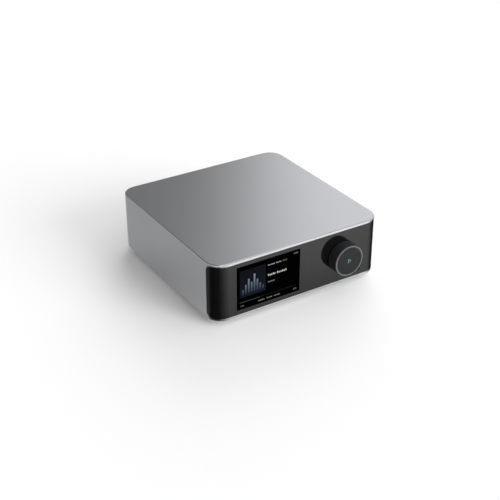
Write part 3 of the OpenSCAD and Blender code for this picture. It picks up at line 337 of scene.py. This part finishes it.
# Capacitors: aluminium cans in shrunk plastic sleeves, soldered upright behind
# the analogue sockets, and a large one for the supply, each with a bare can end.
def sleeved_can(name, codes, node):
    """A plastic sleeve up to the bare aluminium end of a node's cans."""
    end_bare, end_soft = 0.0003, 0.0001
    can = finish(name, codes, rough=(0.3, 0.42), grain_mm=0.5, depth_mm=0.006, drift_mm=5)
    tree = can.node_tree
    shader = tree.nodes["Principled BSDF"]
    at = add(tree, "ShaderNodeTexCoord").outputs["Object"]
    high = add(tree, "ShaderNodeSeparateXYZ", links={0: at}).outputs["Z"]
    sleeve_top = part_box(node)[1].z - end_bare
    bare = add(tree, "ShaderNodeMapRange", {"From Min": sleeve_top, "From Max": sleeve_top + end_soft},
               {"Value": high})
    sleeve_tint = shader.inputs["Base Color"].links[0].from_socket
    ends = add(tree, "ShaderNodeMix", {"data_type": "RGBA", 7: linear("BFC0C2")},
               {0: bare.outputs["Result"], 6: sleeve_tint})
    tree.links.new(ends.outputs[2], shader.inputs["Base Color"])
    tree.links.new(bare.outputs["Result"], shader.inputs["Metallic"])
    dress(can, node)


# Shrunk sleeve: a tight satin film with ripples of about 0.5 mm, and a bright metal end.
sleeved_can("shrunk_blue_sleeve", ("101B3C", "14224A"), "audio_capacitors")
sleeved_can("shrunk_black_sleeve", ("131416", "1B1C1F"), "bulk_capacitor")

# Supply windings: a transformer in yellow polyester tape between ferrite halves
# and a toroid choke of varnished copper, soldered to the supply board.
# Polyester tape: a glossy yellow film with upright creases about 1.2 mm apart.
tape = finish("wrapped_yellow_polyester_tape", ("B99A2E", "A98A26"), rough=(0.25, 0.4),
              grain_mm=1.2, depth_mm=0.03, drift_mm=8, stretch=(1, 1, 0.1))
dress(tape, "transformer")
# Varnished copper: warm and wet, broken by the ridges of turns about 0.8 mm thick.
copper = finish("varnished_copper_wire", ("8A4A22", "A35C2C"), rough=(0.2, 0.35),
                grain_mm=0.8, depth_mm=0.2, drift_mm=3, metallic=0.7)
dress(copper, "line_choke")
# Extruded PVC: smooth, slightly waxy colour.
lead_pvc = finish("extruded_red_pvc", ("8E1512", "A01C17"), rough=(0.32, 0.45),
                  grain_mm=0.5, depth_mm=0.004, drift_mm=4)
dress(lead_pvc, "power_wires")

# Phono sockets: black moulded housings on the board with gold-plated turned
# barrels through the panel, round coloured insulators.
# Moulded polyester: a plain dull black with a fine skin of about 0.5 mm.
housing_pbt = finish("moulded_black_pbt", ("141415", "1A1A1C"), rough=(0.42, 0.55),
                     grain_mm=0.5, depth_mm=0.015, drift_mm=9)
dress(housing_pbt, "rca_housings", "network_socket", "optical_sockets", "mains_inlet", "trigger_socket",
      "headphone_socket", "push_switch", "encoder_body", "hdmi_tongue", "backlight_tray")
# Gold flash over turned brass: warm mirror with tool marks round the barrel, 0.08 mm apart,
# drawn at 0.25 mm so that they show.
round_y = (0.02, 1, 0.02)
gold = finish("gold_plated_turned_brass", ("E0B65C", "D3A64A"), rough=(0.12, 0.2),
              grain_mm=0.25, depth_mm=0.004, drift_mm=6, metallic=1.0, stretch=round_y)
dress(gold, "rca_barrels", "network_contacts")
# Coloured insulators: glossy moulded nylon with slight flow marks over 3 mm.
for node, codes in (("rca_white", ("D9D8D2", "CFCEC7")), ("rca_red", ("A5120F", "960E0D")),
                    ("rca_black", ("17171A", "1C1C1F")), ("rca_orange", ("D2691E", "C45F18"))):
    colour = node.split("_")[1]
    nylon = finish("moulded_nylon_" + colour, codes, rough=(0.22, 0.32),
                   grain_mm=0.8, depth_mm=0.006, drift_mm=3)
    dress(nylon, node)

# Optical sockets: a sprung shutter hangs in each mouth and keeps the dust out.
# Moulded grey-black polyacetal, a little waxier than the housing.
shutter_pom = finish("moulded_grey_polyacetal", ("26272A", "2C2D31"), rough=(0.34, 0.44),
                     grain_mm=0.5, depth_mm=0.01, drift_mm=4)
dress(shutter_pom, "optical_out_flap", "optical_in_flap")

# Data sockets: tinned shells folded round moulded tongues that hold the contacts,
# soldered to the main board, as are the two sockets of the flat cables.
# Moulded polymer: a chalky off-white with flow marks over about 4 mm.
tongue_lcp = finish("moulded_white_liquid_crystal_polymer", ("C9C8C0", "BEBDB5"), rough=(0.4, 0.5),
                    grain_mm=0.5, depth_mm=0.008, drift_mm=4)
dress(tongue_lcp, "usb_tongue", "ribbon_sockets")

# Nickelled pieces: the trigger socket's ring nut, the mains pins and the ground
# terminal with its knurled thumb nut, all turned from brass and plated.
# Nickel plate: a warm grey mirror with tool marks round it, 0.08 mm apart, drawn at 0.25 mm.
nickel = finish("nickel_plated_turned_brass", ("C3BEB4", "B4AFA6"), rough=(0.15, 0.26),
                grain_mm=0.25, depth_mm=0.004, drift_mm=6, metallic=1.0, stretch=round_y)
dress(nickel, "trigger_nut", "mains_pins", "ground_stud", "ground_nut")

# Rear panel: a black moulding held by four screws into the phono housings, with
# two aerials on film stuck behind it.
# Spark-eroded tool: a dry, even grain of about 0.2 mm, drawn at 0.45 mm, that kills the shine.
spark = finish("spark_textured_black_abs", ("18191A", "1D1E1F"), rough=(0.55, 0.72),
               grain_mm=0.45, depth_mm=0.03, drift_mm=25)
dress(spark, "rear_panel")
# Polyimide film: a smooth brown-black, slightly clouded over 9 mm.
film = finish("black_polyimide_film", ("1A1512", "221B16"), rough=(0.3, 0.4),
              grain_mm=0.6, depth_mm=0.003, drift_mm=9)
dress(film, "antennas")


# Printed marks: white ink on the rear panel. A number over each pair of phono
# sockets and beside each optical socket, fine rules between the groups, and an earth sign.
def thin_bar(x, y, z, wide, high, corner, rise):
    """A thin upright plate, in mm, centred on x and z, with round corners, that stands off y by rise."""
    bpy.ops.object.select_all(action="DESELECT")
    bpy.ops.mesh.primitive_plane_add(size=0.001, location=(x / 1000, y / 1000, z / 1000),
                                     rotation=(math.pi / 2, 0, 0))
    bar = bpy.context.object
    bar.scale = (wide, high, 1)
    bpy.ops.object.transform_apply(location=True, rotation=True, scale=True)
    bpy.ops.object.mode_set(mode="EDIT")
    bpy.ops.mesh.select_all(action="SELECT")
    bpy.ops.mesh.bevel(offset=corner / 1000, segments=4, affect="VERTICES")
    bpy.ops.mesh.extrude_region_move(TRANSFORM_OT_translate={"value": (0, rise / 1000, 0)})
    bpy.ops.mesh.select_all(action="SELECT")
    bpy.ops.mesh.normals_make_consistent(inside=False)
    bpy.ops.object.mode_set(mode="OBJECT")
    return bar


def number(digits, x, y, z, high, turn, rise):
    """Plain digits, in mm, centred on x and z, facing front or, turned half round, back."""
    digit_share = 0.7  # a digit's height as a share of the type's size
    bpy.ops.object.select_all(action="DESELECT")
    bpy.ops.object.text_add()
    text = bpy.context.object.data
    text.body = digits
    text.size = high / 1000 / digit_share
    text.align_x, text.align_y = "CENTER", "CENTER"
    text.extrude = rise / 1000
    bpy.ops.object.convert(target="MESH")
    figure = bpy.context.object
    figure.location = (x / 1000, y / 1000, z / 1000)
    figure.rotation_euler = (math.pi / 2, 0, turn)
    bpy.ops.object.transform_apply(location=True, rotation=True, scale=True)
    return figure


def join(name, pieces, material):
    """Joins thin pieces into one that rides on the chassis."""
    bpy.ops.object.select_all(action="DESELECT")
    for piece in pieces:
        piece.select_set(True)
    bpy.context.view_layer.objects.active = pieces[0]
    if len(pieces) > 1:
        bpy.ops.object.join()
    whole = bpy.context.object
    whole.name = name
    whole.data.materials.clear()
    whole.data.materials.append(material)
    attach(whole, "chassis")


rear_face, ink, hair, hair_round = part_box("rear_panel")[1].y * 1000, 0.04, 0.35, 0.17
rule_x, rule_z, rule_high = (21.7, -40.9), 39.3, 36
column_x, bar_z, bar_wide, digit_z, digit_high = (73.4, 58.6, 43.8, 29.0), 57.4, 11, 60, 2.2
optical_x, optical_z = 8.2, (41.5, 25.5)
earth_x, earth_z, earth_stem, earth_wide, earth_step = -7.4, 47.6, 2.4, 3, 0.8
marks = [thin_bar(x, rear_face, rule_z, hair, rule_high, hair_round, ink) for x in rule_x]
marks += [thin_bar(x, rear_face, bar_z, bar_wide, hair, hair_round, ink) for x in column_x]
marks += [number(str(n + 1), x, rear_face, digit_z, digit_high, math.pi, ink)
          for n, x in enumerate(column_x)]
marks += [number(str(n + 1), optical_x, rear_face, z, digit_high, math.pi, ink)
          for n, z in enumerate(optical_z)]
marks += [thin_bar(earth_x, rear_face, earth_z + earth_stem / 2, hair, earth_stem, hair_round, ink)]
marks += [thin_bar(earth_x, rear_face, earth_z - earth_step * n, earth_wide - n, hair, hair_round, ink)
          for n in range(3)]
# Pad-printed ink: a thin dead white, patchy over about 0.6 mm where the grain shows through.
print_ink = finish("pad_printed_white_ink", ("B8B9BA", "9C9D9E"), rough=(0.6, 0.75),
                   grain_mm=0.45, depth_mm=0.02, drift_mm=0.6)
join("rear_marks", marks, print_ink)

# Display stack: a colour liquid crystal cell over its backlight tray, in a steel
# bracket screwed to the fascia, under a black glass that is coated against glare.
# Coated glass: a deep black with hardly a reflection, and wiping smears about 11 mm long.
black_code, coat_gloss, smear_mm = "010101", 0.001, 11
glass, tree, shader, at = surface("coated_black_cover_glass")
shader.inputs["Base Color"].default_value = linear(black_code)
shader.inputs["Specular IOR Level"].default_value = coat_gloss
smear = add(tree, "ShaderNodeTexNoise", {"Scale": 1000 / smear_mm, "Detail": 4}, {"Vector": at})
wipe = add(tree, "ShaderNodeMapRange", {"To Min": 0.02, "To Max": 0.06}, {"Value": smear.outputs["Fac"]})
tree.links.new(wipe.outputs["Result"], shader.inputs["Roughness"])
dress(glass, "display_glass", "display_cell")


# Display picture: what the lit cell shows behind the glass, a plain now-playing
# page. A square cover with level bars, strokes for words, a time line and its times.
def lit(name, codes, low, high):
    """Lit picture dots that grade from one colour at height low to the other at high, in mm."""
    dot_mm, dot_dim = 0.4, 0.84
    material, tree, shader, at = surface(name)
    shader.inputs["Base Color"].default_value = linear(black_code)
    shader.inputs["Specular IOR Level"].default_value = coat_gloss
    shader.inputs["Roughness"].default_value = 0.1
    up = add(tree, "ShaderNodeSeparateXYZ", links={0: at}).outputs["Z"]
    place = add(tree, "ShaderNodeMapRange", {"From Min": low / 1000, "From Max": high / 1000}, {"Value": up})
    grade = add(tree, "ShaderNodeMix", {"data_type": "RGBA", 6: linear(codes[0]), 7: linear(codes[1])},
                {0: place.outputs["Result"]})
    # the dots glow evenly under the glass; they are 0.12 mm apart, drawn 0.4 mm apart so that they show
    upright = add(tree, "ShaderNodeMapping", {"Rotation": (math.pi / 2, 0, 0)}, {"Vector": at})
    dots = add(tree, "ShaderNodeTexChecker",
               {"Color1": (1, 1, 1, 1), "Color2": (dot_dim, dot_dim, dot_dim, 1), "Scale": 1000 / dot_mm},
               {"Vector": upright.outputs["Vector"]})
    shown = add(tree, "ShaderNodeMix", {"data_type": "RGBA", "blend_type": "MULTIPLY", 0: 1.0},
                {6: grade.outputs[2], 7: dots.outputs["Color"]})
    tree.links.new(shown.outputs[2], shader.inputs["Emission Color"])
    shader.inputs["Emission Strength"].default_value = 1
    return material


# the page is set out in mm from the glass's top left corner
glass_low, glass_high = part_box("display_glass")
glass_left, glass_top, glass_face = glass_low.x * 1000, glass_high.z * 1000, glass_low.y * 1000
film_rise, page_digit = -0.03, 1.7


def page_bar(left, right, down, high):
    """A rounded bar on the page, from left to right and centred down from the glass's top, in mm."""
    corner = 0.3 * high
    return thin_bar(glass_left + (left + right) / 2, glass_face, glass_top - down,
                    right - left, high, corner, film_rise)


def page_words(*places):
    """Words that are only strokes, some tall and some low, each placed as a bar of the page is."""
    letter_wide, letter_fill, letter_share = 0.78, 0.74, (1.0, 0.72, 0.72, 1.0, 0.72)
    strokes = []
    for left, right, down, high in places:
        letters = max(2, round((right - left) / (high * letter_wide)))
        pitch = (right - left) / letters
        for n in range(letters):
            tall = high * letter_share[n % len(letter_share)]
            start = left + n * pitch
            strokes.append(page_bar(start, start + pitch * letter_fill, down + (high - tall) / 2, tall))
    return strokes


def page_number(digits, across, down):
    """Plain digits on the page, centred across and down from its corner, in mm."""
    return number(digits, glass_left + across, glass_face, glass_top - down, page_digit, 0, -film_rise)


cover_across, cover_down, cover_wide, cover_high, soft_corner = 19.05, 20.5, 31.1, 31, 0.8
cover = thin_bar(glass_left + cover_across, glass_face, glass_top - cover_down,
                 cover_wide, cover_high, soft_corner, film_rise)
join("cover_ground", [cover], lit("lit_cover_ground", ("171B25", "131417"), low=28, high=59))
level_heights, level_first, level_pitch = (6, 11, 17, 12.5, 21, 14, 8.5, 5), 7.2, 3.4
level_foot, level_wide = 33.2, 2.0
bars = [thin_bar(glass_left + level_first + level_pitch * n, glass_face + film_rise,
                 glass_top - level_foot + tall / 2, level_wide, tall, soft_corner, film_rise)
        for n, tall in enumerate(level_heights)]
join("cover_levels", bars, lit("lit_cover_levels", ("141F33", "8091A1"), low=30, high=52))
header_down, title_down, line_down, foot_down = 7.6, 19.2, 41.6, 45.8
bold = page_words((36.9, 46.4, title_down, 2.5), (47.8, 60.0, title_down, 2.5))
join("page_title", bold, lit("lit_page_title", ("C4C5C6", "C4C5C6"), low=40, high=50))
fine = page_words((36.9, 45.4, header_down, 1.7), (46.4, 53.2, header_down, 1.7))
fine += [page_number("10:30", 70.5, 3.6)]
join("page_header", fine, lit("lit_page_header", ("9A9C9E", "9A9C9E"), low=50, high=62))
small = page_words((37.0, 45.5, 27.2, 1.5), (25.2, 33.4, foot_down, 1.4), (35.6, 42.4, foot_down, 1.4),
                   (44.6, 52.0, foot_down, 1.4))
small += [page_number("1:24", 6.0, foot_down), page_number("3:50", 70.1, foot_down)]
join("page_words", small, lit("lit_page_words", ("86888B", "86888B"), low=15, high=60))
tag = page_bar(54.6, 59.8, header_down, 1.6)
join("page_tag", [tag], lit("lit_page_tag", ("55551F", "60602A"), low=55, high=58))
time_line = page_bar(3.4, 72.8, line_down, 0.35)
join("time_line", [time_line], lit("lit_time_line", ("2A2B2D", "2A2B2D"), low=20, high=24))
played_across, played_wide, played_high, played_corner = 15.3, 23.8, 0.4, 0.18
played = thin_bar(glass_left + played_across, glass_face + film_rise, glass_top - line_down,
                  played_wide, played_high, played_corner, film_rise)
join("time_played", [played], lit("lit_time_played", ("5E6062", "5E6062"), low=20, high=24))

# Knob mechanism: a plain aluminium post screwed through the knob's board holds
# the drive tube, whose slotted wheel passes the reader; a clip keeps it on.
# Turned aluminium: pale grey with fine bright rings, 0.1 mm apart, drawn at 0.25 mm.
post_metal = finish("turned_plain_aluminium", ("B9BABC", "ADAEB1"), rough=(0.25, 0.35),
                    grain_mm=0.25, depth_mm=0.004, drift_mm=9, metallic=1.0, stretch=round_y)
dress(post_metal, "knob_post")
# Moulded polyacetal: a slightly waxy black with a skin of about 0.5 mm.
wheel = finish("moulded_black_polyacetal", ("161618", "1C1C1F"), rough=(0.36, 0.46),
               grain_mm=0.5, depth_mm=0.01, drift_mm=6)
dress(wheel, "encoder_rotor", "switch_plunger")

# Knob: sleeve, web and drive tube turned in one from aluminium, then dyed black
# in the anodising, which leaves a soft charcoal in place of the metal's mirror.
# Turning marks 0.1 mm apart, drawn at 0.3 mm, run round the sleeve.
sleeve_gloss = 0.103
sleeve = finish("black_anodised_turned_aluminium", ("27282A", "2D2E30"), rough=(0.45, 0.55),
                grain_mm=0.3, depth_mm=0.006, drift_mm=14, stretch=round_y)
sleeve.node_tree.nodes["Principled BSDF"].inputs["Specular IOR Level"].default_value = sleeve_gloss
dress(sleeve, "knob_ring")


# Bezel: the knob's front ring, black like the sleeve. A diamond tool cut a line
# round its face last, so that a thin ring of bare bright metal stands out.
def about_knob(tree, at):
    """The place about the knob's axis, in mm."""
    ring_low, ring_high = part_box("knob_ring")
    axis = (ring_low + ring_high) / 2 * 1000
    centred = add(tree, "ShaderNodeMapping", {"Location": (-axis.x, 0, -axis.z), "Scale": (1000, 1000, 1000)},
                  {"Vector": at})
    return centred.outputs["Vector"]


def knob_radius(tree, at):
    """The distance from the knob's axis, in mm."""
    across = add(tree, "ShaderNodeVectorMath", {"operation": "MULTIPLY", 1: (1, 0, 1)},
                 {0: about_knob(tree, at)})
    length = add(tree, "ShaderNodeVectorMath", {"operation": "LENGTH"}, {0: across.outputs["Vector"]})
    return length.outputs["Value"]


line_r, line_half, line_soft = 16.6, 0.26, 0.06
dyed_rough, bare_rough = 0.38, 0.36
bezel, tree, shader, at = surface("diamond_cut_black_anodised_aluminium")
off_line = add(tree, "ShaderNodeMath", {"operation": "SUBTRACT", 1: line_r}, {0: knob_radius(tree, at)})
aside = add(tree, "ShaderNodeMath", {"operation": "ABSOLUTE"}, {0: off_line.outputs["Value"]})
bare = add(tree, "ShaderNodeMapRange",
           {"From Min": line_half, "From Max": line_half + line_soft, "To Min": 1, "To Max": 0},
           {"Value": aside.outputs["Value"]})
tint = add(tree, "ShaderNodeMix", {"data_type": "RGBA", 6: linear("1C1D1F"), 7: linear("8F9093")},
           {0: bare.outputs["Result"]})
sheen = add(tree, "ShaderNodeMapRange", {"To Min": dyed_rough, "To Max": bare_rough},
            {"Value": bare.outputs["Result"]})
tree.links.new(tint.outputs[2], shader.inputs["Base Color"])
tree.links.new(bare.outputs["Result"], shader.inputs["Metallic"])
tree.links.new(sheen.outputs["Result"], shader.inputs["Roughness"])
dress(bezel, "knob_bezel")

# Button: the disc in the knob's face, pressed to play, on a stem down the post.
# Black anodised after fine spinning; a painted teal glow spreads a little way round its symbol.
# Spun lines about 0.06 mm apart, drawn at 0.25 mm, give it a faint silky shimmer.
spun_mm, spun_depth_mm, disc_gloss = 0.25, 0.004, 0.189
halo_from, halo_to, halo_glow = 1.4, 4.2, 0.04
disc, tree, shader, at = surface("spun_black_anodised_aluminium")
shader.inputs["Specular IOR Level"].default_value = disc_gloss
radius = knob_radius(tree, at)
lines = add(tree, "ShaderNodeTexNoise", {"noise_dimensions": "1D", "Scale": 1 / spun_mm, "Detail": 2},
            {"W": radius})
tint = add(tree, "ShaderNodeMix", {"data_type": "RGBA", 6: linear("131415"), 7: linear("17181A")},
           {0: lines.outputs["Fac"]})
sheen = add(tree, "ShaderNodeMapRange", {"To Min": 0.3, "To Max": 0.42}, {"Value": lines.outputs["Fac"]})
relief = add(tree, "ShaderNodeBump", {"Strength": 0.4, "Distance": spun_depth_mm / 1000},
             {"Height": lines.outputs["Fac"]})
# painted glow: the disc itself emits teal near its symbol, fading outwards
halo = add(tree, "ShaderNodeMapRange",
           {"interpolation_type": "SMOOTHSTEP", "From Min": halo_from, "From Max": halo_to,
            "To Min": halo_glow, "To Max": 0},
           {"Value": radius})
tree.links.new(tint.outputs[2], shader.inputs["Base Color"])
tree.links.new(sheen.outputs["Result"], shader.inputs["Roughness"])
tree.links.new(relief.outputs["Normal"], shader.inputs["Normal"])
shader.inputs["Emission Color"].default_value = linear("2FA8A2")
tree.links.new(halo.outputs["Result"], shader.inputs["Emission Strength"])
dress(disc, "play_button")

# Play symbol: a light pipe of clear acrylic down the stem, lit teal from below.
# Its end is masked so that the triangle's outline shines and its middle stays dim.
icon_low, icon_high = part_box("play_icon")
symbol_side, lean = (icon_high.z - icon_low.z) * 1000, math.radians(30)
left_edge, nose = symbol_side / math.sqrt(12), symbol_side / math.sqrt(3)
line_from, line_to = 0.2, 0.3
symbol, tree, shader, at = surface("lit_moulded_acrylic_pipe")
shader.inputs["Base Color"].default_value = linear("0A2A2A")
shader.inputs["Roughness"].default_value = 0.25
apart = add(tree, "ShaderNodeSeparateXYZ", links={0: about_knob(tree, at)})
from_left = add(tree, "ShaderNodeMath", {"operation": "ADD", 1: left_edge}, {0: apart.outputs["X"]})
aside = add(tree, "ShaderNodeMath", {"operation": "ABSOLUTE"}, {0: apart.outputs["Z"]})
slope = add(tree, "ShaderNodeMath",
            {"operation": "MULTIPLY_ADD", 1: -math.sin(lean), 2: math.sin(lean) * nose},
            {0: apart.outputs["X"]})
from_side = add(tree, "ShaderNodeMath", {"operation": "MULTIPLY_ADD", 1: -math.cos(lean)},
                {0: aside.outputs["Value"], 2: slope.outputs["Value"]})
inside = add(tree, "ShaderNodeMath", {"operation": "MINIMUM"},
             {0: from_left.outputs["Value"], 1: from_side.outputs["Value"]})
outline = add(tree, "ShaderNodeMapRange",
              {"From Min": line_from, "From Max": line_to, "To Min": 1, "To Max": 0},
              {"Value": inside.outputs["Value"]})
tint = add(tree, "ShaderNodeMix", {"data_type": "RGBA", 6: linear("031213"), 7: linear("62C4C0")},
           {0: outline.outputs["Result"]})
tree.links.new(tint.outputs[2], shader.inputs["Emission Color"])
shader.inputs["Emission Strength"].default_value = 1
dress(symbol, "play_icon")

# Flat cables: tinned copper strips 1 mm apart between clear and white polyester
# films, from the display and the knob's board to sockets on the main board.
# Laminated film: glossy cream with fine grey stripes that stand a little proud.
strip_mm, strip_rise_mm = 1, 0.03
cable, tree, shader, at = surface("laminated_polyester_flat_cable")
shader.inputs["Roughness"].default_value = 0.3
# a band of Blender's wave texture is pi / 10 wide at a scale of 1
strips = add(tree, "ShaderNodeTexWave",
             {"wave_type": "BANDS", "bands_direction": "X", "Scale": math.pi / 10 * 1000 / strip_mm},
             {"Vector": at})
tint = add(tree, "ShaderNodeMix", {"data_type": "RGBA", 6: linear("C9C3B4"), 7: linear("8F8F8C")},
           {0: strips.outputs["Fac"]})
relief = add(tree, "ShaderNodeBump", {"Strength": 0.6, "Distance": strip_rise_mm / 1000},
             {"Height": strips.outputs["Fac"]})
tree.links.new(tint.outputs[2], shader.inputs["Base Color"])
tree.links.new(relief.outputs["Normal"], shader.inputs["Normal"])
dress(cable, "display_ribbon", "knob_ribbon")

# Fascia: gloss black acrylic moulding that wraps round both front corners and
# snaps into the case from the front. Its polished face mirrors the floor, with
# ripples about 6 mm long that hardly show.
acrylic_ior = 1.49
gloss = finish("polished_black_acrylic", ("0B0B0C", "0D0D0E"), rough=(0.04, 0.06),
               grain_mm=6, depth_mm=0.002, drift_mm=50)
gloss.node_tree.nodes["Principled BSDF"].inputs["IOR"].default_value = acrylic_ior
dress(gloss, "front_fascia")

# Case: one aluminium shell, drawn and machined, then bead-blasted and clear
# anodised. It slips over everything from above and the base's screws hold it.
# Blasted metal: soft silver that blurs what it mirrors, with dimples of 0.1 mm, drawn at 0.5 mm.
aluminium = finish("bead_blasted_anodised_aluminium", ("CBCCCE", "C6C7CA"), rough=(0.22, 0.26),
                   grain_mm=0.5, depth_mm=0.004, drift_mm=60, metallic=1.0)
dress(aluminium, "aluminium_case")
